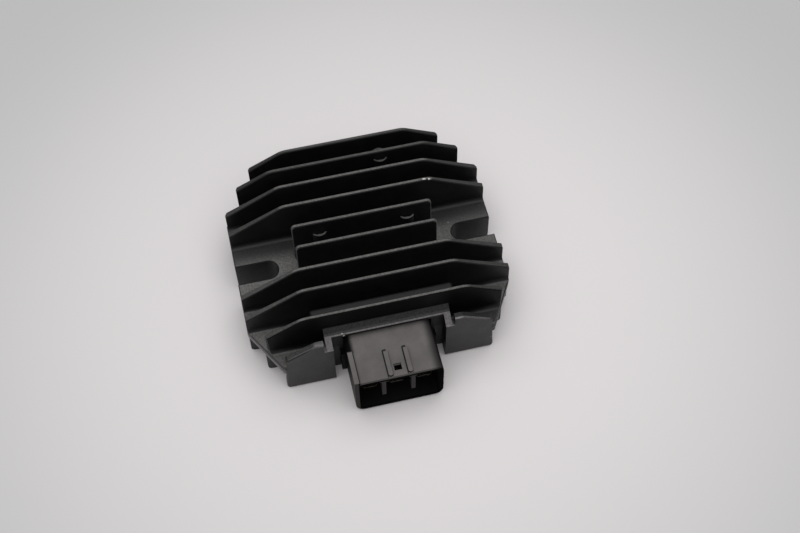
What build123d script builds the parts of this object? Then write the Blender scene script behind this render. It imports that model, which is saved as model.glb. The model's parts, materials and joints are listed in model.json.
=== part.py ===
from build123d import *
from math import radians, tan
import os

# A voltage regulator rectifier: a finned die-cast housing with a six-way socket in front.
# The power devices and their board are sealed in the hollow underneath.
# Millimetres, +Z up. The origin lies midway between the two mounting slots, on the plane that
# the unit is bolted down on. +X runs along the fins, and the socket faces -Y.

os.makedirs("parts", exist_ok=True)

# Fins: where each row stands, and half the length of its level top
short_fin_y = 4.6
ear_fin_y = 14.3
shoulder_fin_y = 23.4
back_fin_y = 31.3
last_fin_y = 39.4
front_fin_y = -35.1
short_fin_half = 26.8
level_half = 28.4
level_half_back = 30.3
level_half_last = 24.1
fin_top = 34.7
fin_tip = 1.5
fin_draft = 2.0
fin_foot_radius = 1.8
fin_edge_chamfer = 0.3
fin_slope = 29.1
fin_kink_radius = 7.0
fin_corner_radius = 1.8
fin_inset = 0.2

# Flange that carries the fins, and its outline seen from above
flange_top = 15.5
flange_thickness = 3.5
half_width = 50.2
corner_back = 23.3
corner_front = -25.0
half_width_back = 36.8
half_width_front = 39.7
back_margin = 0.9
outline_radius = 1.2
flange_edge_chamfer = 0.4

# Front walls on either side of the socket
front_wall_reach = 5.4
front_wall_tip = 2.3
front_wall_draft = 0.8
front_wall_half = 38.5
front_wall_foot_half = 39.6
front_wall_foot = 0.5
front_wall_peak = 27.0
front_wall_level_half = 27.3
front_wall_start = 24.3
front_edge_chamfer = 0.4
ledge_top = 17.4

# Recess around the socket, with its cheeks, which slope down from the lip of the hump
recess_half = 21.0
cheek = 2.4
cheek_slope = 30.0
cheek_top_front = 22.0

# Hump over the back of the socket
hump_top = 26.9
hump_half = 26.8
hump_behind_fin = 7.8
hump_before_fin = 2.9
hump_lip_reach = 1.1
hump_lip_flat = 0.6
hump_lip_thickness = 1.3
hump_skin = 2.9
hump_edge_radius = 1.1

# Ears and their slots
slot_spacing = 76.0
slot_width = 7.8

# Ribs under the flange
rib_tip = 2.6
outer_rib_y = 22.9
corner_rib_y = 32.2
rib_corner_radius = 1.8

# Hollow underneath
tub_half = 31.0
tub_back = 38.0
tub_wall = 2.6
tub_ceiling = 4.0
tub_corner_radius = 4.0
hump_hollow_half = 20.5

# Columns that the ejector pins pushed on, dished by the pins: x, y of the fin, and the height of the top
ejector_radius = 3.3
ejector_rim = 0.6
ejector_dish = 0.8
ejector_setback = 0.9
ejector_columns = ((-16.4, short_fin_y, 28.3), (17.4, short_fin_y, 28.3), (13.0, back_fin_y, 30.6))

# Socket: outside
socket_half = 16.5
socket_bottom = 0.6
socket_height = 20.7
socket_reach = 20.6
socket_radius = 3.4
shoulder_step = 1.6
shoulder_reach = 2.5
shoulder_height = 11.4
rear_flange_step = 3.0
rear_flange_rise = 2.0
rear_flange_depth = 2.2
socket_clearance = 0.15

# Socket: mouth, key and guides
shell_wall = 1.5
mouth_depth = 16.0
key_width = 1.8
key_height = 1.1
key_length = 13.4
rail_spacing = 7.3
rail_width = 1.7
rail_height = 1.0
rail_length = 10.8
rail_setback = 0.6
guide_x = 0.7
window_x = 0.2
window_width = 2.8
window_length = 2.7
window_setback = 2.7
mouth_edge_chamfer = 0.4
divider_x = -0.3
divider_spacing = 10.9
divider_thickness = 1.5
divider_head = 2.9
divider_head_depth = 1.2
divider_depth = 11.0
divider_setback = 0.4

# Blades and their tails
blade_pitch = 10.3
blade_row_gap = 6.9
blade_width = 6.3
blade_thickness = 0.8
blade_setback = 5.2
blade_tang = 0.6
tail_width = 2.4
tail_offset = 1.8
tail_lap = 4.0
tail_bend_radius = 1.0
upper_tail_reach = 2.0
lower_tail_reach = 7.6

# Board and what it carries, hanging under the ceiling of the hollow
pad_thickness = 0.5
board_thickness = 1.6
board_clearance = 2.9
board_setback = 15.4
board_corner_radius = 2.0
pad_margin = 0.8
device_margin = 4.5
thyristor_width = 10.0
thyristor_length = 9.0
thyristor_height = 3.2
thyristor_y = 10.0
diode_width = 8.0
diode_length = 7.0
diode_height = 2.6
diode_y = 24.0
package_chamfer = 0.5
lead_width = 1.1
lead_reach = 1.8
lead_thickness = 0.4
lead_pitch = 2.5
chip_width = 10.0
chip_length = 4.0
chip_height = 1.8
chip_inset = 3.0
control_y = -4.0
chip_lead_pitch = 1.9
chip_lead_width = 0.7
capacitor_radius = 3.2
capacitor_height = 5.5
resistor_width = 1.6
resistor_length = 3.2
resistor_height = 0.6
resistor_pitch = 3.0
zener_width = 3.6
zener_length = 4.2
zener_height = 2.2
zener_lead_width = 2.5
zener_inset = 7.5
resin_recess = 0.8

# Places that follow from the sizes above
flange_bottom = flange_top - flange_thickness
fin_sunk = flange_top - flange_thickness / 2
back_edge = last_fin_y + fin_tip / 2 + back_margin
tub_front = front_fin_y - hump_before_fin
front_edge = tub_front - front_wall_reach
hump_back = front_fin_y + hump_behind_fin
ceiling_z = flange_top - tub_ceiling
board_top = ceiling_z - pad_thickness
board_bottom = board_top - board_thickness
hollow_half = tub_half - tub_wall
hollow_front = tub_front + tub_wall
hollow_back = tub_back - tub_wall
socket_mouth_y = tub_front - socket_reach
socket_top = socket_bottom + socket_height
socket_middle = socket_bottom + socket_height / 2
cheek_half = recess_half + cheek
hump_lip_y = tub_front - hump_lip_reach
cheek_top_back = cheek_top_front + front_wall_reach * tan(radians(cheek_slope))
hump_lip_top = cheek_top_back - hump_lip_reach * tan(radians(cheek_slope))
hump_lip_bottom = hump_lip_top - hump_lip_thickness
hump_lip_back = hump_lip_y + hump_lip_flat
hump_lip_back_top = hump_lip_top + hump_lip_flat * tan(radians(cheek_slope))
wall_opening_half = socket_half + socket_clearance
wall_opening_top = socket_top + socket_clearance
mouth_back_y = socket_mouth_y + mouth_depth
rear_flange_back = hollow_front + rear_flange_depth
hump_ceiling = hump_top - hump_skin
board_half = hollow_half - board_clearance
board_back = hollow_back - board_clearance
board_front = hollow_front + board_setback
device_spacing = board_half - thyristor_width / 2 - device_margin
chip_x = chip_inset - device_spacing
zener_x = device_spacing - zener_inset
blade_tip_y = socket_mouth_y + blade_setback
blade_back_y = rear_flange_back + blade_tang
upper_tail_bend_y = blade_back_y + upper_tail_reach
lower_tail_bend_y = blade_back_y + lower_tail_reach
tail_end_y = board_front + tail_lap
upper_blade_z = socket_middle + blade_row_gap / 2
lower_blade_z = socket_middle - blade_row_gap / 2
tail_z = board_bottom - blade_thickness / 2
foot_half = fin_tip / 2 + (fin_top - flange_top) * tan(radians(fin_draft))
ear_block_half = ear_fin_y + foot_half


def half_width_at(y):
    """Half the width of the flange at a distance y from the middle."""
    if y > corner_back:
        narrowing = (half_width - half_width_back) / (back_edge - corner_back)
        return half_width - (y - corner_back) * narrowing
    if y < corner_front:
        narrowing = (half_width - half_width_front) / (corner_front - front_edge)
        return half_width - (corner_front - y) * narrowing
    return half_width


def fin_profile(level, end):
    """A fin as seen from the front: a level top that slopes down to both ends."""
    end_top = fin_top - (end - level) * tan(radians(fin_slope))
    with BuildSketch() as profile:
        with BuildLine():
            Polyline(
                (-end, fin_sunk),
                (-end, end_top),
                (-level, fin_top),
                (level, fin_top),
                (end, end_top),
                (end, fin_sunk),
                close=True,
            )
        make_face()
        corners = profile.vertices().group_by(Axis.Y)
        fillet(corners[-1], fin_kink_radius)
        fillet(corners[1], fin_corner_radius)
    return profile.sketch


def fin(y, profile, end):
    """One fin: a tapering section with flared feet, cut to its profile from the front."""
    flare_half = foot_half + fin_foot_radius + 0.2
    with BuildPart() as blade:
        with BuildSketch(Plane.YZ) as section:
            with BuildLine():
                Polyline(
                    (y - flare_half, fin_sunk),
                    (y - flare_half, flange_top),
                    (y - foot_half, flange_top),
                    (y - fin_tip / 2, fin_top),
                    (y + fin_tip / 2, fin_top),
                    (y + foot_half, flange_top),
                    (y + flare_half, flange_top),
                    (y + flare_half, fin_sunk),
                    close=True,
                )
            make_face()
            feet = section.vertices().group_by(Axis.Y)[1].sort_by(Axis.X)[1:3]
            fillet(feet, fin_foot_radius)
        extrude(amount=end, both=True)
        with BuildSketch(Plane.XZ.offset(-y)):
            add(profile)
        extrude(amount=flare_half + 1, both=True, mode=Mode.INTERSECT)
        crest = blade.faces().sort_by(Axis.Z)[-1].edges().filter_by(Axis.X)
        chamfer(crest, fin_edge_chamfer)
    return blade.part


def short_fin_profile(end):
    """A short fin as seen from the front, at full height to its rounded ends."""
    with BuildSketch() as profile:
        with BuildLine():
            Polyline((-end, fin_sunk), (-end, fin_top), (end, fin_top), (end, fin_sunk), close=True)
        make_face()
        fillet(profile.vertices().group_by(Axis.Y)[-1], fin_corner_radius)
    return profile.sketch


def outline_sketch(inset=0.0):
    """The flange seen from above, with its four cut corners."""
    with BuildSketch() as outline:
        with BuildLine():
            Polyline(
                (half_width_back, back_edge),
                (half_width, corner_back),
                (half_width, corner_front),
                (half_width_front, front_edge),
                (-half_width_front, front_edge),
                (-half_width, corner_front),
                (-half_width, corner_back),
                (-half_width_back, back_edge),
                close=True,
            )
        make_face()
        fillet(outline.vertices(), outline_radius)
        if inset:
            offset(amount=-inset, mode=Mode.REPLACE)
    return outline.sketch


def front_wall_profile():
    """The right-hand wall beside the socket, as seen from the front, wider at its foot."""
    outer_top = front_wall_peak - (front_wall_half - front_wall_level_half) * tan(radians(fin_slope))
    with BuildSketch() as profile:
        with BuildLine():
            Polyline(
                (recess_half, front_wall_foot),
                (recess_half, cheek_top_front),
                (front_wall_start, cheek_top_front),
                (front_wall_start, front_wall_peak),
                (front_wall_level_half, front_wall_peak),
                (front_wall_half, outer_top),
                (front_wall_foot_half, front_wall_foot),
                close=True,
            )
        make_face()
        fillet(profile.vertices().group_by(Axis.Y)[-1].sort_by(Axis.X)[-1], fin_kink_radius / 2)
        fillet(profile.vertices().sort_by(Axis.X)[-2:], outline_radius)
    return profile.sketch


# The space above the outline of the flange, which the rows of fins are cut to
with BuildPart() as outline_block:
    with BuildSketch(Plane.XY.offset(flange_bottom)):
        add(outline_sketch(fin_inset))
    extrude(amount=fin_top + 1 - flange_bottom)

# The rows of fins
long_rows = (
    (last_fin_y, level_half_last),
    (back_fin_y, level_half_back),
    (shoulder_fin_y, level_half),
    (ear_fin_y, level_half),
    (-ear_fin_y, level_half),
    (-shoulder_fin_y, level_half),
    (front_fin_y, level_half_back),
)
fins = []
for y, level in long_rows:
    end = half_width_at(y) - fin_inset
    fins.append(fin(y, fin_profile(level, end), end) & outline_block.part)
for y in (short_fin_y, -short_fin_y):
    fins.append(fin(y, short_fin_profile(short_fin_half), short_fin_half))

# The columns where the casting was pushed out of its mould
columns = []
for x, y, top in ejector_columns:
    with BuildPart() as column:
        with BuildSketch(Plane.XY.offset(fin_sunk)):
            with Locations((x, y + ejector_setback)):
                Circle(ejector_radius)
        extrude(amount=top - fin_sunk)
        with BuildSketch(Plane.XY.offset(top)):
            with Locations((x, y + ejector_setback)):
                Circle(ejector_radius - ejector_rim)
        extrude(amount=-ejector_dish, mode=Mode.SUBTRACT)
    columns.append(column.part)

# The walls beside the socket, which lean back a little on the inside
wall_foot = front_wall_tip + front_wall_peak * tan(radians(front_wall_draft))
with BuildPart() as front_walls:
    with BuildSketch(Plane.YZ):
        with BuildLine():
            Polyline(
                (front_edge, 0),
                (front_edge, front_wall_peak),
                (front_edge + front_wall_tip, front_wall_peak),
                (front_edge + wall_foot, 0),
                close=True,
            )
        make_face()
    extrude(amount=front_wall_foot_half, both=True)
    with BuildSketch(Plane.XZ.offset(-front_edge)):
        add(front_wall_profile())
        mirror(about=Plane.YZ)
    extrude(amount=-wall_foot - 1, mode=Mode.INTERSECT)

# The cheeks that close the recess at the sides, sloping down to the walls in front
with BuildPart() as cheeks:
    with BuildSketch(Plane.YZ.offset(recess_half)):
        with BuildLine():
            Polyline(
                (front_edge, front_wall_foot),
                (front_edge, cheek_top_front),
                (tub_front, cheek_top_back),
                (hollow_front, cheek_top_back),
                (hollow_front, front_wall_foot),
                close=True,
            )
        make_face()
    extrude(amount=cheek)
    mirror(about=Plane.YZ)
    add(front_walls.part)
    front_outline = cheeks.faces().filter_by(Axis.Y).group_by(Axis.Y)[0].edges()
    outer_edges = front_outline.filter_by(lambda edge: abs(edge.center().X) > front_wall_level_half)
    chamfer(outer_edges, front_edge_chamfer)

# The hump over the back of the socket: wide and level behind the front fin, narrower before it,
# where it slopes down to the lip
with BuildPart() as hump:
    with BuildSketch(Plane.XY.offset(fin_sunk)) as plan:
        with BuildLine():
            Polyline(
                (cheek_half, hump_lip_y),
                (cheek_half, front_fin_y),
                (hump_half, front_fin_y),
                (hump_half, hump_back),
                (-hump_half, hump_back),
                (-hump_half, front_fin_y),
                (-cheek_half, front_fin_y),
                (-cheek_half, hump_lip_y),
                close=True,
            )
        make_face()
        fillet(plan.vertices().group_by(Axis.Y)[-1], hump_edge_radius)
    extrude(amount=hump_top - fin_sunk)
    with BuildSketch(Plane.YZ):
        with BuildLine():
            Polyline(
                (hump_back, fin_sunk),
                (hump_back, hump_top),
                (front_fin_y - fin_tip / 2, hump_top),
                (hump_lip_back, hump_lip_back_top),
                (hump_lip_y, hump_lip_top),
                (hump_lip_y, fin_sunk),
                close=True,
            )
        make_face()
    extrude(amount=hump_half, both=True, mode=Mode.INTERSECT)
    crown = hump.faces().sort_by(Axis.Z)[-1].edges()
    fillet(crown.filter_by(lambda edge: edge.center().Y > front_fin_y + hump_edge_radius), hump_edge_radius)

# The raised ledge between the front fin and the walls in front, rounded up to the fin
with BuildPart() as ledge:
    fin_face = front_fin_y - fin_tip / 2
    lean = tan(radians(fin_draft))
    with BuildSketch(Plane.YZ) as section:
        with BuildLine():
            Polyline(
                (front_edge, flange_bottom),
                (front_edge, ledge_top),
                (fin_face - (fin_top - ledge_top) * lean, ledge_top),
                (fin_face - (fin_top - hump_top) * lean, hump_top),
                (front_fin_y, hump_top),
                (front_fin_y, flange_bottom),
                close=True,
            )
        make_face()
        fillet(section.vertices().group_by(Axis.Y)[1].sort_by(Axis.X)[-1], fin_foot_radius)
    extrude(amount=half_width, both=True)
    add(outline_block.part, mode=Mode.INTERSECT)

# The hollow underneath: a tub, and a deeper pocket under the hump for the back of the socket
with BuildPart() as hollow:
    with BuildSketch():
        with Locations((0, (hollow_front + hollow_back) / 2)):
            RectangleRounded(2 * hollow_half, hollow_back - hollow_front, tub_corner_radius - tub_wall)
    extrude(amount=ceiling_z)
    with BuildSketch():
        with Locations((0, (hollow_front + hump_back - tub_wall) / 2)):
            Rectangle(2 * hump_hollow_half, hump_back - tub_wall - hollow_front)
    extrude(amount=hump_ceiling)

# Housing: one casting
with BuildPart() as housing:
    # The flange, with a full-height block under each ear
    with BuildSketch(Plane.XY.offset(flange_bottom)):
        add(outline_sketch())
    extrude(amount=flange_thickness)
    with BuildSketch():
        RectangleRounded(2 * half_width, 2 * ear_block_half, outline_radius)
    extrude(amount=flange_bottom)
    # The slots, open at the ends of the ears
    slot_run = half_width - slot_spacing / 2 + slot_width
    with BuildSketch():
        with Locations((slot_spacing / 2 + slot_run / 2, 0), (-slot_spacing / 2 - slot_run / 2, 0)):
            SlotCenterToCenter(slot_run, slot_width)
    extrude(amount=flange_top, mode=Mode.SUBTRACT)
    chamfer(housing.faces().sort_by(Axis.Z)[-1].edges(), flange_edge_chamfer)
    # The wall of the tub
    with BuildSketch():
        with Locations((0, (tub_front + tub_back) / 2)):
            RectangleRounded(2 * tub_half, tub_back - tub_front, tub_corner_radius)
    extrude(amount=flange_bottom)
    # The ribs under the flange, out to the cut corners
    for y in (outer_rib_y, corner_rib_y, -outer_rib_y, -corner_rib_y):
        rib_end = half_width_at(y + (rib_tip / 2 if y > 0 else -rib_tip / 2)) - fin_inset
        with BuildSketch(Plane.XZ.offset(-y)) as rib:
            with Locations((0, flange_bottom / 2)):
                Rectangle(2 * rib_end, flange_bottom)
            fillet(rib.vertices().group_by(Axis.Y)[0], rib_corner_radius)
        extrude(amount=rib_tip / 2, both=True)
    add(ledge.part)
    add(hump.part)
    add(cheeks.part)
    add(fins)
    add(columns)
    # The recess around the socket, and the opening that the socket comes through
    with BuildSketch(Plane.XZ.offset(-tub_front)):
        with Locations((0, hump_lip_bottom / 2)):
            Rectangle(2 * recess_half, hump_lip_bottom)
    extrude(amount=front_wall_reach, mode=Mode.SUBTRACT)
    add(hollow.part, mode=Mode.SUBTRACT)
    with BuildSketch(Plane.XZ.offset(-hollow_front)):
        with Locations((0, wall_opening_top / 2)):
            Rectangle(2 * wall_opening_half, wall_opening_top)
    extrude(amount=tub_wall, mode=Mode.SUBTRACT)

# Socket: a moulded shell with a solid back that reaches into the hollow
with BuildPart() as socket:
    mouth = Plane.XZ.offset(-socket_mouth_y)
    back_depth = rear_flange_back - socket_mouth_y
    with BuildSketch(mouth):
        with Locations((0, socket_middle)):
            RectangleRounded(2 * socket_half, socket_height, socket_radius)
    extrude(amount=-back_depth)
    chamfer(socket.faces().sort_by(Axis.Y)[0].edges(), mouth_edge_chamfer)
    # The flange that bears on the inside of the tub's wall
    with BuildSketch(Plane.XZ.offset(-hollow_front)):
        with Locations((0, socket_middle + rear_flange_rise / 2)):
            Rectangle(2 * (socket_half + rear_flange_step), socket_height + rear_flange_rise)
    extrude(amount=-rear_flange_depth)
    # The shoulders at the root, outside the wall
    with BuildSketch(Plane.XZ.offset(-tub_front)):
        with Locations((0, socket_bottom + shoulder_height / 2)):
            Rectangle(2 * (socket_half + shoulder_step), shoulder_height)
    extrude(amount=shoulder_reach)
    # The key strip along the left-hand edge
    with BuildSketch(mouth):
        with Locations((-socket_half, socket_top - socket_radius)):
            Rectangle(key_width, socket_radius + key_height, align=(Align.MIN, Align.MIN))
    extrude(amount=-key_length)
    # Two guide rails on top
    rail_middle = socket_mouth_y + rail_setback + rail_length / 2
    with BuildSketch(Plane.XY.offset(socket_top - shell_wall / 2)):
        with Locations((guide_x, rail_middle)):
            with GridLocations(rail_spacing, 0, 2, 1):
                SlotOverall(rail_length, rail_width, rotation=90)
    extrude(amount=shell_wall / 2 + rail_height)
    # The mouth
    with BuildSketch(mouth):
        with Locations((0, socket_middle)):
            mouth_width = 2 * (socket_half - shell_wall)
            mouth_height = socket_height - 2 * shell_wall
            RectangleRounded(mouth_width, mouth_height, socket_radius - shell_wall)
    extrude(amount=-mouth_depth, mode=Mode.SUBTRACT)
    # T-shaped dividers that hang from the roof of the mouth
    mouth_roof = socket_top - shell_wall
    with BuildSketch(Plane.XZ.offset(-mouth_back_y)):
        with Locations((divider_x, mouth_roof)):
            with GridLocations(divider_spacing, 0, 2, 1):
                Rectangle(divider_thickness, divider_depth, align=(Align.CENTER, Align.MAX))
                Rectangle(divider_head, divider_head_depth, align=(Align.CENTER, Align.MAX))
    extrude(amount=mouth_depth - divider_setback)
    # The window for the plug's latch
    with BuildSketch(Plane.XY.offset(mouth_roof)):
        with Locations((window_x, socket_mouth_y + window_setback + window_length / 2)):
            Rectangle(window_width, window_length)
    extrude(amount=shell_wall, mode=Mode.SUBTRACT)
    # Six slots through the back, which the blades fill
    with BuildSketch(Plane.XZ.offset(-mouth_back_y)):
        with Locations((0, socket_middle)):
            with GridLocations(blade_pitch, blade_row_gap, 3, 2):
                Rectangle(blade_width, blade_thickness)
    extrude(amount=-(rear_flange_back - mouth_back_y), mode=Mode.SUBTRACT)


def terminal(x, z, tail_x, tail_path):
    """A flat blade with a pointed tip, and a narrow tail bent to meet the board."""
    with BuildPart() as blade:
        with BuildSketch(Plane.XY.offset(z - blade_thickness / 2)) as plan:
            with Locations((x, (blade_tip_y + blade_back_y) / 2)):
                Rectangle(blade_width, blade_back_y - blade_tip_y)
            chamfer(plan.vertices().group_by(Axis.Y)[0], blade_thickness)
        extrude(amount=blade_thickness)
        with BuildSketch(Plane.YZ.offset(tail_x)):
            with BuildLine():
                FilletPolyline(*tail_path, radius=tail_bend_radius)
            trace(line_width=blade_thickness)
        extrude(amount=tail_width / 2, both=True)
    return blade.part


def package(x, y, width, length, height, leads, pitch, lead, sides=(-1,)):
    """An encapsulated device on the underside of the board, with its leads soldered down."""
    with BuildPart() as device:
        with BuildSketch(Plane.XY.offset(board_bottom - height)):
            with Locations((x, y)):
                Rectangle(width, length)
        extrude(amount=height)
        chamfer(device.faces().sort_by(Axis.Z)[0].edges(), package_chamfer)
        with BuildSketch(Plane.XY.offset(board_bottom - lead_thickness)):
            for side in sides:
                with Locations((x, y + side * (length + lead_reach) / 2)):
                    with GridLocations(pitch, 0, leads, 1):
                        Rectangle(lead, lead_reach)
        extrude(amount=lead_thickness)
    return device.part


# Terminals: three phases above, and plus, ground and sense below
terminals = {}
for column, upper_name, lower_name in (
    (-1, "terminal_phase_a", "terminal_plus"),
    (0, "terminal_phase_b", "terminal_ground"),
    (1, "terminal_phase_c", "terminal_sense"),
):
    x = column * blade_pitch
    upper_path = (
        (blade_back_y - 1, upper_blade_z),
        (upper_tail_bend_y, upper_blade_z),
        (upper_tail_bend_y, tail_z),
        (tail_end_y, tail_z),
    )
    lower_path = (
        (blade_back_y - 1, lower_blade_z),
        (lower_tail_bend_y, lower_blade_z),
        (lower_tail_bend_y + tail_z - lower_blade_z, tail_z),
        (tail_end_y, tail_z),
    )
    terminals[upper_name] = terminal(x, upper_blade_z, x + tail_offset, upper_path)
    terminals[lower_name] = terminal(x, lower_blade_z, x - tail_offset, lower_path)

# Thermal pad, pressed between the board and the ceiling of the hollow
board_middle_y = (board_front + board_back) / 2
with BuildPart() as pad:
    with BuildSketch(Plane.XY.offset(board_top)):
        with Locations((0, board_middle_y)):
            Rectangle(2 * (board_half + pad_margin), board_back - board_front + 2 * pad_margin)
    extrude(amount=pad_thickness)

# Power board
with BuildPart() as board:
    with BuildSketch(Plane.XY.offset(board_bottom)):
        with Locations((0, board_middle_y)):
            RectangleRounded(2 * board_half, board_back - board_front, board_corner_radius)
    extrude(amount=board_thickness)

# Power devices, one thyristor and one diode for each phase
devices = {}
for number in (1, 2, 3):
    x = (number - 2) * device_spacing
    devices[f"thyristor_{number}"] = package(
        x, thyristor_y, thyristor_width, thyristor_length, thyristor_height, 3, lead_pitch, lead_width
    )
    devices[f"rectifier_diode_{number}"] = package(
        x, diode_y, diode_width, diode_length, diode_height, 2, lead_pitch, lead_width
    )
devices["control_chip"] = package(
    chip_x, control_y, chip_width, chip_length, chip_height, 5, chip_lead_pitch, chip_lead_width, (-1, 1)
)
devices["zener_diode"] = package(
    zener_x, control_y, zener_width, zener_length, zener_height, 1, zener_width, zener_lead_width, (-1, 1)
)

# Timing capacitor: a can that stands on the board
with BuildPart() as capacitor:
    with BuildSketch(Plane.XY.offset(board_bottom - capacitor_height)):
        with Locations((device_spacing, control_y)):
            Circle(capacitor_radius)
    extrude(amount=capacitor_height)
    chamfer(capacitor.faces().sort_by(Axis.Z)[0].edges(), package_chamfer)

# Gate resistors, one for each thyristor
for number in (1, 2, 3):
    with BuildPart() as resistor:
        with BuildSketch(Plane.XY.offset(board_bottom - resistor_height)):
            with Locations(((number - 2) * resistor_pitch, control_y)):
                Rectangle(resistor_width, resistor_length)
        extrude(amount=resistor_height)
    devices[f"gate_resistor_{number}"] = resistor.part

# Potting resin: fills the hollow around everything, to just above the mounting plane
with BuildPart() as resin:
    add(hollow.part)
    split(bisect_by=Plane.XY.offset(resin_recess), keep=Keep.TOP)
    add(socket.part, mode=Mode.SUBTRACT)
    add(pad.part, mode=Mode.SUBTRACT)
    add(board.part, mode=Mode.SUBTRACT)
    add(capacitor.part, mode=Mode.SUBTRACT)
    for piece in (*terminals.values(), *devices.values()):
        add(piece, mode=Mode.SUBTRACT)

housing.part.label = "heatsink_housing"
export_step(housing.part, "parts/heatsink_housing.step")
socket.part.label = "connector_housing"
export_step(socket.part, "parts/connector_housing.step")
pad.part.label = "thermal_pad"
export_step(pad.part, "parts/thermal_pad.step")
board.part.label = "power_board"
export_step(board.part, "parts/power_board.step")
capacitor.part.label = "timing_capacitor"
export_step(capacitor.part, "parts/timing_capacitor.step")
resin.part.label = "potting_resin"
export_step(resin.part, "parts/potting_resin.step")
for name, piece in {**terminals, **devices}.items():
    piece.label = name
    export_step(piece, f"parts/{name}.step")
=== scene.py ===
import bpy
import json
from math import radians
from mathutils import Matrix, Vector


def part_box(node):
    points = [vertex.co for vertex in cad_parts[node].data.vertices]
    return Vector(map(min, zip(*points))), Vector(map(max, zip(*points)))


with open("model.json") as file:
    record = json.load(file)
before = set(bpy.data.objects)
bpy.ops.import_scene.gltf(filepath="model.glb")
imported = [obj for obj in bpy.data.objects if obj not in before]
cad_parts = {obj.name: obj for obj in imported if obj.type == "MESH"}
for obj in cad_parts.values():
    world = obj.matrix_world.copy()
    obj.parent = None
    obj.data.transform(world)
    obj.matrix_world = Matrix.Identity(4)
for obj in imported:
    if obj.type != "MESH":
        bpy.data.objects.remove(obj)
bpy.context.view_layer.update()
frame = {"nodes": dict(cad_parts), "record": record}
nodes = frame["nodes"]

# Edges that the finishes follow, in metres, from the bounds of the casting and the socket
casting_low, casting_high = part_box("heatsink_housing")
socket_low, socket_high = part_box("connector_housing")
front_edge = casting_low.y
tub_front = front_edge + 0.0054
lip_front = tub_front - 0.0011
front_fin = tub_front + 0.0029
hump_back = front_fin + 0.0078
back_edge = casting_high.y
flange_top = casting_low.z + 0.0155
wall_top = casting_low.z + 0.0270
crest_top = casting_high.z
slope_start = casting_high.x - 0.0202
mouth = socket_low.y
socket_bottom = socket_low.z
socket_top = socket_low.z + 0.0207
socket_half = socket_high.x - 0.0030
key_strip_edge = -socket_half + 0.0018

# Places between those bounds, measured from the part's middle
hump_half = 0.0268
cheek_half = 0.0234
short_rows_end = 0.0085
front_rows_end = -0.0195
back_rows_start = 0.0200
window_x = 0.0002
rail_middle = 0.0007
rail_spacing = 0.0073
rails = (rail_middle - rail_spacing / 2, rail_middle + rail_spacing / 2)

# Half the width of a fade at the edge of a region, in metres. A few fades have widths of their own
hairline = 0.00005
sharp = 0.0001
firm = 0.0002
soft = 0.0005
wide = 0.0010

# Chips in the coating: x, y, z and radius in metres
chips = (
    (0.0262, 0.0142, 0.0347, 0.0005),
    (0.0268, 0.0141, 0.0347, 0.0004),
    (0.0284, 0.0139, 0.0346, 0.0006),
    (0.0291, 0.0138, 0.0344, 0.0004),
    (-0.0163, -0.0391, 0.0237, 0.0005),
    (-0.0168, -0.0386, 0.0247, 0.0003),
)
# Scuffs that only dull the coating, in the same form
scuffs = (
    (0.0452, -0.0322, 0.0200, 0.0005),
    (0.0428, -0.0372, 0.0160, 0.0006),
    (0.0400, -0.0418, 0.0150, 0.0005),
    (0.0396, -0.0426, 0.0110, 0.0006),
    (0.0386, -0.0433, 0.0075, 0.0005),
    (-0.0225, -0.0362, 0.0262, 0.0004),
    (-0.0140, 0.0141, 0.0347, 0.0003),
    (-0.0330, -0.0020, 0.0155, 0.0005),
    (0.0340, 0.0050, 0.0155, 0.0005),
)

# Painted shade on the socket's top along the key strip and the rails' sides, and darker spots at the rails'
# back ends: x, half width, front and back y, share
shade_lines = [(key_strip_edge + 0.00015, 0.00030, mouth, mouth + 0.0131, 0.80)]
for rail in rails:
    shade_lines += [
        (rail - 0.0010, 0.00030, mouth + 0.0004, mouth + 0.0118, 0.85),
        (rail + 0.0009, 0.00018, mouth + 0.0004, mouth + 0.0106, 0.40),
        (rail - 0.0003, 0.00085, mouth + 0.0107, mouth + 0.0120, 0.90),
    ]
# The part of a line's half width that is fully darkened
shade_core = 0.4

# Where most of a noise lies
noise_low = 0.3
noise_high = 0.7

# How far the grain bites into the rim of a chip or scuff, and where the rim starts and ends, in radii
rim_bite = 1.1
rim_start = 1.15
rim_end = 1.35


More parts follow.
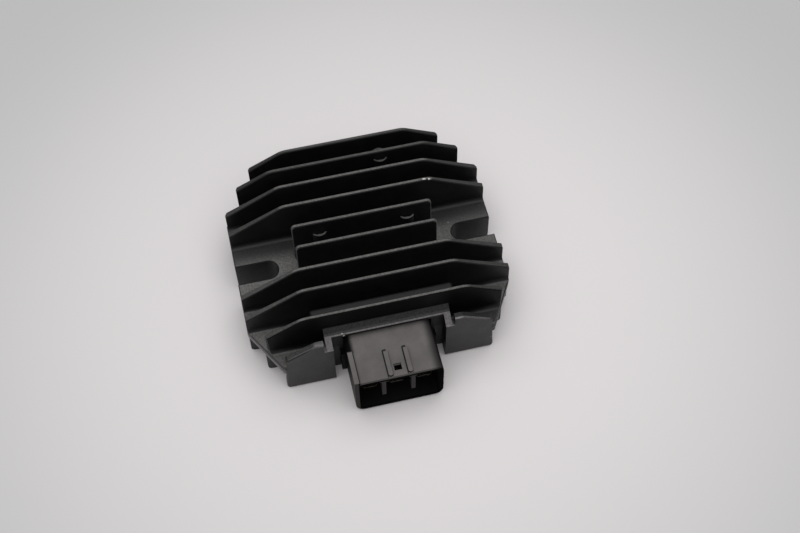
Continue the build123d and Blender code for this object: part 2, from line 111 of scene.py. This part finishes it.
class Graph:
    """A material's node tree, with short calls for the nodes that the finishes here use."""

    def __init__(self, name):
        self.material = bpy.data.materials.new(name)
        self.material.use_nodes = True
        self.tree = self.material.node_tree
        self.shader = self.tree.nodes["Principled BSDF"]
        coordinates = self.add("ShaderNodeTexCoord")
        self.place = coordinates.outputs["Object"]
        self.x, self.y, self.z = self.parts(self.place)
        self.facing = self.parts(coordinates.outputs["Normal"])

    def add(self, kind, **settings):
        """Adds a node."""
        node = self.tree.nodes.new(kind)
        for key, value in settings.items():
            setattr(node, key, value)
        return node

    def link(self, source, target):
        """Joins an output to an input."""
        self.tree.links.new(source, target)

    def parts(self, vector):
        """The x, y and z of a vector."""
        node = self.add("ShaderNodeSeparateXYZ")
        self.link(vector, node.inputs["Vector"])
        return node.outputs

    def noise(self, size, detail=3.0, roughness=0.55, stretch=None):
        """Noise whose features are about size metres across."""
        node = self.add("ShaderNodeTexNoise")
        node.inputs["Scale"].default_value = 1.0 / size
        node.inputs["Detail"].default_value = detail
        node.inputs["Roughness"].default_value = roughness
        if stretch is None:
            self.link(self.place, node.inputs["Vector"])
        else:
            mapping = self.add("ShaderNodeMapping")
            mapping.inputs["Scale"].default_value = stretch
            self.link(self.place, mapping.inputs["Vector"])
            self.link(mapping.outputs["Vector"], node.inputs["Vector"])
        return node.outputs["Fac"]

    def cells(self, size, feature="F1"):
        """Distances in a pattern of cells about size metres across."""
        node = self.add("ShaderNodeTexVoronoi", feature=feature)
        node.inputs["Scale"].default_value = 1.0 / size
        self.link(self.place, node.inputs["Vector"])
        return node.outputs["Distance"]

    def math(self, operation, a, b):
        """One step of arithmetic on outputs or plain numbers."""
        node = self.add("ShaderNodeMath", operation=operation)
        for socket, value in zip(node.inputs, (a, b)):
            if isinstance(value, (int, float)):
                socket.default_value = value
            else:
                self.link(value, socket)
        return node.outputs["Value"]

    def times(self, *factors):
        """The product of its factors."""
        total = factors[0]
        for factor in factors[1:]:
            total = self.math("MULTIPLY", total, factor)
        return total

    def most(self, *values):
        """The largest of its values."""
        top = values[0]
        for value in values[1:]:
            top = self.math("MAXIMUM", top, value)
        return top

    def less(self, *shares):
        """What is left of 1 after taking the product of the shares."""
        return self.math("SUBTRACT", 1.0, self.times(*shares))

    def away(self, value, middle=0.0):
        """How far a value lies from a middle, on either side."""
        return self.math("ABSOLUTE", self.math("SUBTRACT", value, middle), 0.0)

    def span(self, value, low, high, to_low=0.0, to_high=1.0):
        """Maps low..high smoothly to to_low..to_high."""
        node = self.add("ShaderNodeMapRange", interpolation_type="SMOOTHSTEP")
        self.link(value, node.inputs["Value"])
        node.inputs["From Min"].default_value = low
        node.inputs["From Max"].default_value = high
        node.inputs["To Min"].default_value = to_low
        node.inputs["To Max"].default_value = to_high
        return node.outputs["Result"]

    def varied(self, noise, low, high):
        """Spreads the range where most of a noise lies over low..high."""
        return self.span(noise, noise_low, noise_high, low, high)

    def above(self, value, edge, blur=sharp):
        """0 below the edge and 1 above it, with a fade of blur to either side."""
        return self.span(value, edge - blur, edge + blur)

    def below(self, value, edge, blur=sharp):
        """1 below the edge and 0 above it, with a fade of blur to either side."""
        return self.span(value, edge - blur, edge + blur, 1.0, 0.0)

    def between(self, value, low, high, blur=sharp):
        """1 between two edges and 0 outside them."""
        return self.times(self.above(value, low, blur), self.below(value, high, blur))

    def upward(self, low, high):
        """0 where the surface's lean is steeper than low, 1 where it is flatter than high."""
        return self.span(self.facing["Z"], low, high)

    def along(self, direction):
        """How far a place lies along a direction."""
        node = self.add("ShaderNodeVectorMath", operation="DOT_PRODUCT")
        self.link(self.place, node.inputs[0])
        node.inputs[1].default_value = direction
        return node.outputs["Value"]

    def distance(self, point):
        """How far a place lies from a point."""
        node = self.add("ShaderNodeVectorMath", operation="DISTANCE")
        self.link(self.place, node.inputs[0])
        node.inputs[1].default_value = point
        return node.outputs["Value"]

    def spots(self, places, ragged):
        """1 inside any of the places, each (x, y, z, radius), with a ragged rim."""
        found = []
        for x, y, z, radius in places:
            bite = self.times(ragged, rim_bite * radius)
            reach = self.math("ADD", self.distance((x, y, z)), bite)
            found.append(self.span(reach, rim_start * radius, rim_end * radius, 1.0, 0.0))
        return self.most(*found)

    def outside_shade_lines(self, lines):
        """1 away from the lines, 0 in their painted shade, each (x, half width, front y, back y, share)."""
        unshaded = []
        for middle, width, front, back, share in lines:
            across = self.span(self.away(self.x, middle), shade_core * width, width, 1.0, 0.0)
            unshaded.append(self.less(across, self.between(self.y, front, back, firm), share))
        return self.times(*unshaded)

    def mix(self, factor, a, b):
        """Blends from colour a to colour b."""
        node = self.add("ShaderNodeMix", data_type="RGBA")
        self.link(factor, node.inputs["Factor"])
        for name, value in (("A", a), ("B", b)):
            socket = next(s for s in node.inputs if s.name == name and s.type == "RGBA")
            if isinstance(value, tuple):
                socket.default_value = (*value, 1.0)
            else:
                self.link(value, socket)
        return next(s for s in node.outputs if s.type == "RGBA")

    def bump(self, height, depth, strength=1.0, over=None):
        """Raises the surface by up to depth metres, over another bump where one is given."""
        node = self.add("ShaderNodeBump")
        node.inputs["Distance"].default_value = depth
        node.inputs["Strength"].default_value = strength
        self.link(height, node.inputs["Height"])
        if over is not None:
            self.link(over, node.inputs["Normal"])
        return node.outputs["Normal"]

    def finish(self, color, roughness, normal, metallic=0.0, specular=0.5, sheen=None):
        """Sets the shader; sheen, where given, varies the specular level over the surface."""
        inputs = self.shader.inputs
        self.link(color, inputs["Base Color"])
        self.link(roughness, inputs["Roughness"])
        self.link(normal, inputs["Normal"])
        inputs["Metallic"].default_value = metallic
        inputs["Specular IOR Level"].default_value = specular
        if sheen is not None:
            self.link(sheen, inputs["Specular IOR Level"])
        return self.material

    def grained(self, grain, dark, pale, smooth, rough, depth, strength, metallic=0.0):
        """A finish whose colour, roughness and bumps all follow one grain."""
        color = self.mix(grain, dark, pale)
        roughness = self.varied(grain, smooth, rough)
        return self.finish(color, roughness, self.bump(grain, depth, strength), metallic)


def dust_and_painted_top_light(g):
    """Dust on what faces up, which also stands in for light from above as painted top light. Each region
    keeps a share of it, and less takes away the share given last; these shares paint light and shade.
    """
    crests = g.above(g.z, crest_top - 0.0042, soft)
    back_rows = g.span(g.y, back_rows_start, back_edge - 0.00505, 1.0, 0.41)
    short_crests = g.less(g.below(g.away(g.y), short_rows_end, soft), crests, 0.13)
    front_crests = g.less(g.below(g.y, front_rows_end, soft), crests, 0.08)
    # Painted shade on the ears' backs, next to the fin behind them
    shade_towards_fin = g.span(g.y, 0.001, 0.009, 0.0, 0.84)
    ears = g.less(g.below(g.z, flange_top + 0.00125, blur=0.00075), shade_towards_fin)
    # Painted shade on the hump behind the front fin
    hump = g.less(g.between(g.y, front_fin + 0.00085, hump_back + 0.00055, blur=0.00025),
                  g.above(g.z, wall_top - 0.0025, soft), 0.98)
    # Painted shade on the ledges before the front fin
    shade_before_fin = g.span(g.x, -0.025, 0.025, 0.34, 0.78)
    before_fin = g.less(g.below(g.y, front_fin - 0.00115, blur=0.00025), shade_before_fin)
    # Painted shade on the walls' level tops, more on the right
    shade_on_walls = g.span(g.x, -0.020, 0.020, 0.45, 0.85)
    wall_tops = g.less(g.below(g.y, lip_front - 0.00115, blur=0.00025), g.above(g.z, wall_top - 0.0005),
                       shade_on_walls)
    right_slopes = g.span(g.x, slope_start - wide, slope_start + wide, 1.0, 0.75)
    # The left slopes gain dust and painted light in front, where their loss is below 0
    lost_on_left = g.span(g.y, -0.020, 0.025, -0.30, 0.25)
    left_slopes = g.less(g.below(g.x, -slope_start, wide), g.above(g.z, flange_top + 0.0020, soft),
                         lost_on_left)
    return g.times(g.upward(0.80, 0.97), back_rows, short_crests, front_crests, ears, hump, before_fin,
                   wall_tops, right_slopes, left_slopes)


def wear_and_painted_highlights(g):
    """Lighter coating on the lip, the walls' front edges, a cut corner and the short fins' ends: rubbed thin
    in part, and in part painted highlight where edges and slopes catch the light.
    """
    level = g.upward(0.80, 0.86)
    # The lip with the cheeks and the walls' tops, which get less of it behind their front edge
    behind_edge = g.span(g.y, front_edge + 0.0006, front_edge + 0.0020)
    tops = g.less(g.above(g.z, wall_top - 0.0005), behind_edge, 0.75)
    lip = g.times(level, g.below(g.y, tub_front - 0.0006), g.above(g.z, wall_top - 0.0053, firm),
                  g.above(g.x, -hump_half - 0.00095, blur=0.00075), g.below(g.x, cheek_half + 0.0004), tops)
    wall_edge = g.times(level, g.below(g.y, front_edge + 0.0006), g.above(g.z, flange_top + 0.0010, soft),
                        g.span(g.z, wall_top - 0.0060, wall_top - 0.0052, 0.5, 1.0))
    # The cut corner in front on the left, by its distance along the direction that it faces
    corner_facing = (-0.8685, -0.4956, 0.0)
    corner_distance = 0.0555
    corner = g.times(g.above(g.along(corner_facing), corner_distance),
                     g.below(g.z, flange_top + 0.00015, blur=0.00015), g.above(g.z, flange_top - 0.0036),
                     g.span(g.z, flange_top - 0.0025, flange_top - 0.0021, 1.0, 0.3))
    # The short fins' ends get a painted highlight along their sides
    sideways = g.span(g.away(g.facing["X"]), 0.25, 0.50)
    from_middle = g.away(g.x)
    fin_ends = g.times(sideways, g.below(g.away(g.y), short_rows_end - 0.00175, blur=0.00025),
                       g.above(g.z, flange_top + 0.00175, blur=0.00075),
                       g.above(from_middle, slope_start - 0.0050, firm),
                       g.below(from_middle, slope_start + 0.0005, soft), 0.5)
    return g.most(lip, wall_edge, corner, fin_ends)


def wall_top_wear_and_highlight(g):
    """Wear and painted highlight on the chamfers along the front walls' tops, most of all at the right
    wall's inner end.
    """
    # The chamfers lean by about 45 degrees
    lean = g.facing["Z"]
    chamfer = g.times(g.above(lean, 0.575, blur=0.025), g.below(lean, 0.76, blur=0.02))
    right = g.times(g.above(g.x, cheek_half + 0.0007),
                    g.span(g.x, cheek_half + 0.0021, cheek_half + 0.0046, 1.0, 0.30))
    left = g.times(g.above(g.x, -hump_half - 0.0017, blur=0.0035), g.below(g.x, -cheek_half + 0.0035), 0.35)
    return g.times(chamfer, g.below(g.y, front_edge + 0.00045, hairline),
                   g.above(g.z, flange_top + 0.0055, soft), g.most(right, left))


def coated_casting():
    """Black coating over die-cast aluminium: orange peel, grey dust with painted top light on what faces up,
    painted highlights and painted shade, a few chips.
    """
    g = Graph("coated_casting")
    cloud = g.noise(0.006, 4.0)
    grain = g.noise(0.0007, 4.0, 0.6)
    peel = g.noise(0.0016, 2.0)
    speckle = g.span(grain, 0.35, 0.65, 0.55, 1.05)
    # Painted light on the slope before the front fin, in the thin coating's colour
    lit_front_slope = g.times(g.upward(0.76, 0.78), g.between(g.y, lip_front - 0.0010, front_fin - 0.0011),
                          g.above(g.z, wall_top - 0.0027, blur=0.0003), 0.22)
    # The front fin's face gets painted shade: a darker colour and a lower specular level
    shaded_fin_face = g.times(g.between(g.y, tub_front + 0.0001, front_fin - 0.0002),
                             g.above(g.z, flange_top + 0.0035, wide))
    coating = (0.0035, 0.0035, 0.0035)
    faded_coating = (0.0050, 0.0050, 0.0050)
    painted_shade_black = (0.0008, 0.0008, 0.0008)
    dust = (0.125, 0.122, 0.119)
    thin_coating_and_highlight = (0.148, 0.140, 0.140)
    scuffed_coating = (0.16, 0.155, 0.15)
    worn_coating_and_highlight = (0.26, 0.25, 0.24)
    bare_metal = (0.55, 0.54, 0.52)
    color = g.mix(g.span(cloud, 0.35, 0.70), coating, faded_coating)
    # Painted shade on the front fin's face
    color = g.mix(g.times(shaded_fin_face, 0.4), color, painted_shade_black)
    # Grey dust, which here also serves as painted top light, with painted shade where it is taken away
    color = g.mix(g.times(dust_and_painted_top_light(g), speckle), color, dust)
    # Lighter coating: wear with painted highlights on edges, and painted light on the front slope
    color = g.mix(g.times(g.most(wear_and_painted_highlights(g), lit_front_slope), speckle), color, thin_coating_and_highlight)
    color = g.mix(g.times(g.spots(scuffs, grain), 0.7), color, scuffed_coating)
    # Wear with painted highlight on the walls' top chamfers
    color = g.mix(g.times(wall_top_wear_and_highlight(g), speckle), color, worn_coating_and_highlight)
    color = g.mix(g.spots(chips, grain), color, bare_metal)
    both = g.math("ADD", g.times(cloud, 0.5), g.times(grain, 0.5))
    # The outer faces shine a little more than the fins' faces, and the front fin's face less, as painted
    # shade
    outer = g.most(g.below(g.y, front_edge + 0.0004, firm), g.above(g.y, back_edge - 0.00135, firm),
                   g.below(g.z, flange_top - 0.00065, blur=0.00035))
    sheen = g.times(g.span(outer, 0.0, 1.0, 0.30, 0.52), g.less(shaded_fin_face, 0.75))
    normal = g.bump(grain, 0.00003, 0.4, g.bump(peel, 0.00004, 0.4))
    return g.finish(color, g.varied(both, 0.42, 0.56), normal, specular=0.35, sheen=sheen)


def socket_top_light_and_dust(g, texture, cloud):
    """Dust and painted top light on the socket's top, brighter towards the wall, fading as painted shade
    towards its rounded corners, and with lines of painted shade in it.
    """
    left_corner = g.less(g.below(g.x, key_strip_edge + 0.0005, wide),
                         g.above(g.y, mouth + 0.0131, blur=0.0003))
    right_corner = g.span(g.x, socket_half - 0.0048, socket_half - 0.0014, 1.0, 0.24)
    top = g.times(g.upward(0.45, 0.90), g.above(g.z, socket_top - 0.0012, soft))
    towards_wall = g.span(g.y, mouth + 0.0066, mouth + 0.0186, 0.80, 1.02)
    mottle = g.times(g.span(texture, 0.2, 0.7, 0.85, 1.0), g.varied(cloud, 0.88, 1.04))
    return g.times(top, towards_wall, mottle, left_corner, right_corner, g.outside_shade_lines(shade_lines))


def socket_plastic():
    """Dark moulded plastic with a fine spark-eroded texture, brown-grey dust with painted top light on its
    top, and painted light inside the mouth.
    """
    g = Graph("socket_plastic")
    texture = g.noise(0.00035, 2.0, 0.6)
    cloud = g.noise(0.005, 3.0)
    # Painted light on the ribs inside the mouth, the back wall of the latch window and the left of the rim,
    # in the dust colour
    dividers = g.times(g.below(g.away(g.x), 0.0095, soft), g.below(g.y, mouth + 0.0019),
                       g.between(g.z, socket_bottom + 0.0075, socket_top - 0.0018), 0.24)
    window = g.times(g.below(g.away(g.x, window_x), 0.0012),
                     g.between(g.y, mouth + 0.00505, mouth + 0.00575, hairline),
                     g.above(g.z, socket_top - 0.00215, blur=0.00015),
                     g.below(g.z, socket_top - 0.00045, hairline), 0.9)
    left_rim = g.times(g.below(g.x, -socket_half + 0.0015, firm),
                       g.below(g.y, mouth + 0.00065, blur=0.00015), 0.28)
    plastic = (0.0036, 0.0035, 0.0035)
    faded_plastic = (0.0052, 0.0050, 0.0050)
    dust = (0.158, 0.146, 0.144)
    color = g.mix(g.varied(cloud, 0.0, 1.0), plastic, faded_plastic)
    # Dust with painted top light on the top, and painted light inside the mouth and on the rim's left, all
    # in the dust colour
    color = g.mix(g.most(socket_top_light_and_dust(g, texture, cloud), dividers, left_rim, window), color, dust)
    # The rim of the mouth has no sheen at all
    sheen = g.span(g.y, mouth + 0.0003, mouth + 0.0006, 0.0, 0.09)
    roughness = g.varied(texture, 0.46, 0.56)
    return g.finish(color, roughness, g.bump(texture, 0.00003, 0.7), specular=0.09, sheen=sheen)


def tinned_blade():
    """Tin over brass, with rolling marks along the blade."""
    g = Graph("tinned_blade")
    rolled = g.noise(0.0006, 2.0, 0.5, stretch=(6.0, 0.4, 6.0))
    stain = g.noise(0.003, 3.0)
    tin = (0.22, 0.20, 0.17)
    stained_tin = (0.12, 0.09, 0.06)
    color = g.mix(g.span(stain, 0.4, 0.75), tin, stained_tin)
    return g.finish(color, g.varied(rolled, 0.25, 0.42), g.bump(rolled, 0.00001, 0.5), metallic=1.0)


def resin():
    """Cast black resin: glossy where it levelled, with a slow ripple and a few small bubbles."""
    g = Graph("resin")
    ripple = g.noise(0.012, 2.0)
    dust = g.noise(0.0008, 3.0)
    bubbles = g.span(g.cells(0.006), 0.06, 0.10)
    black = (0.014, 0.014, 0.015)
    dusty = (0.045, 0.044, 0.042)
    color = g.mix(g.span(dust, 0.45, 0.8), black, dusty)
    normal = g.bump(bubbles, 0.0002, 0.6, g.bump(ripple, 0.0004, 0.6))
    return g.finish(color, g.varied(dust, 0.22, 0.38), normal)


def pad():
    """Soft grey thermal pad with its woven carrier showing through."""
    g = Graph("pad")
    weave = g.noise(0.0005, 2.0, 0.5, stretch=(1.0, 3.0, 1.0))
    grey = (0.26, 0.28, 0.31)
    pale_grey = (0.42, 0.44, 0.47)
    return g.grained(weave, grey, pale_grey, smooth=0.7, rough=0.85, depth=0.00004, strength=0.6)


def board():
    """Green solder mask over a metal board, with tracks faintly raised."""
    g = Graph("board")
    tracks = g.span(g.cells(0.004, "DISTANCE_TO_EDGE"), 0.04, 0.10)
    flow = g.noise(0.004, 3.0)
    green = (0.020, 0.085, 0.040)
    pale_green = (0.035, 0.140, 0.062)
    color = g.mix(tracks, green, pale_green)
    return g.finish(color, g.varied(flow, 0.28, 0.42), g.bump(tracks, 0.00004, 0.7))


def device_package():
    """Moulded epoxy package, sanded by its mould."""
    g = Graph("device_package")
    sand = g.noise(0.0003, 3.0, 0.6)
    black = (0.016, 0.016, 0.017)
    dark_grey = (0.034, 0.034, 0.036)
    return g.grained(sand, black, dark_grey, smooth=0.50, rough=0.68, depth=0.00002, strength=0.7)


def capacitor_can():
    """Drawn aluminium can, with draw marks along its height."""
    g = Graph("capacitor_can")
    drawn = g.noise(0.0005, 2.0, 0.5, stretch=(5.0, 5.0, 0.3))
    dull = (0.56, 0.57, 0.59)
    bright = (0.72, 0.73, 0.75)
    return g.grained(drawn, dull, bright, smooth=0.24, rough=0.40, depth=0.00001, strength=0.5, metallic=1.0)


def resistor_body():
    """Dark glazed resistor chip."""
    g = Graph("resistor_body")
    glaze = g.noise(0.0004, 2.0)
    black = (0.018, 0.018, 0.022)
    dark_grey = (0.040, 0.040, 0.046)
    return g.grained(glaze, black, dark_grey, smooth=0.18, rough=0.30, depth=0.00001, strength=0.5)


finishes = {
    "coated_casting": coated_casting(),
    "socket_plastic": socket_plastic(),
    "tinned_blade": tinned_blade(),
    "resin": resin(),
    "pad": pad(),
    "board": board(),
    "device_package": device_package(),
    "capacitor_can": capacitor_can(),
    "resistor_body": resistor_body(),
}
for part in frame["record"]["subparts"]:
    for slot in nodes[part["node"]].material_slots:
        slot.material = finishes[part["material_slot"]]

# Floor: a square of paper just under the part, with a painted pool of light around one point
floor_half = 2.5
floor_gap = 0.0001
light_pool_point = (0.01, -0.01, 0.0)
light_pool_radius = 0.05
plain_radius = 0.23
light_pool_paper = (0.752, 0.721, 0.728)
plain_paper = (0.515, 0.515, 0.515)


def plane(name, half):
    """A level square around the origin."""
    corners = [(-half, -half, 0), (half, -half, 0), (half, half, 0), (-half, half, 0)]
    mesh = bpy.data.meshes.new(name)
    mesh.from_pydata(corners, [], [(0, 1, 2, 3)])
    square = bpy.data.objects.new(name, mesh)
    bpy.context.scene.collection.objects.link(square)
    return square


def floor_paper():
    """Plain white paper, with a painted pool of light where the object stands."""
    g = Graph("floor_paper")
    color = g.mix(g.span(g.distance(light_pool_point), light_pool_radius, plain_radius), light_pool_paper, plain_paper)
    fibre = g.noise(0.0012, 3.0)
    return g.finish(color, g.varied(fibre, 0.85, 0.95), g.bump(fibre, 0.00002, 0.3), specular=0.2)


floor = plane("floor", floor_half)
floor.location.z = -floor_gap
floor.data.materials.append(floor_paper())

# Light: one wide soft lamp overhead, in metres and watts, and a white world
lamp_place = (0.0, -0.05, 1.25)
lamp_size = 1.9
lamp_power = 14.7
world_color = (1.0, 1.0, 1.0, 1.0)
world_strength = 0.45


def soft_light(name, place, size, power):
    """A square soft light that faces the object."""
    lamp = bpy.data.lights.new(name, "AREA")
    lamp.shape = "SQUARE"
    lamp.size = size
    lamp.energy = power
    light = bpy.data.objects.new(name, lamp)
    light.location = place
    light.rotation_euler = (-Vector(place)).to_track_quat("-Z", "Y").to_euler()
    bpy.context.scene.collection.objects.link(light)


soft_light("ceiling", lamp_place, lamp_size, lamp_power)

world = bpy.data.worlds.new("studio")
world.use_nodes = True
background = world.node_tree.nodes["Background"]
background.inputs["Color"].default_value = world_color
background.inputs["Strength"].default_value = world_strength
bpy.context.scene.world = world

# Camera, solved from the fins and slots in the photograph: metres, degrees, and millimetres of film
camera_place = (-0.04378, -0.26763, 0.44437)
camera_heading = -12.068
camera_dip = 58.458
camera_roll = -1.197
camera_lens = 59.405
camera_film = 36.0

camera = bpy.data.objects.new("camera", bpy.data.cameras.new("camera"))
bpy.context.scene.collection.objects.link(camera)
camera.data.sensor_width = camera_film
camera.data.lens = camera_lens
turn = Matrix.Rotation(radians(camera_heading), 4, "Z")
tip = Matrix.Rotation(radians(90.0 - camera_dip), 4, "X")
roll = Matrix.Rotation(radians(camera_roll), 4, "Z")
camera.matrix_world = Matrix.Translation(camera_place) @ turn @ tip @ roll
bpy.context.scene.camera = camera
bpy.context.scene.view_settings.view_transform = "Standard"
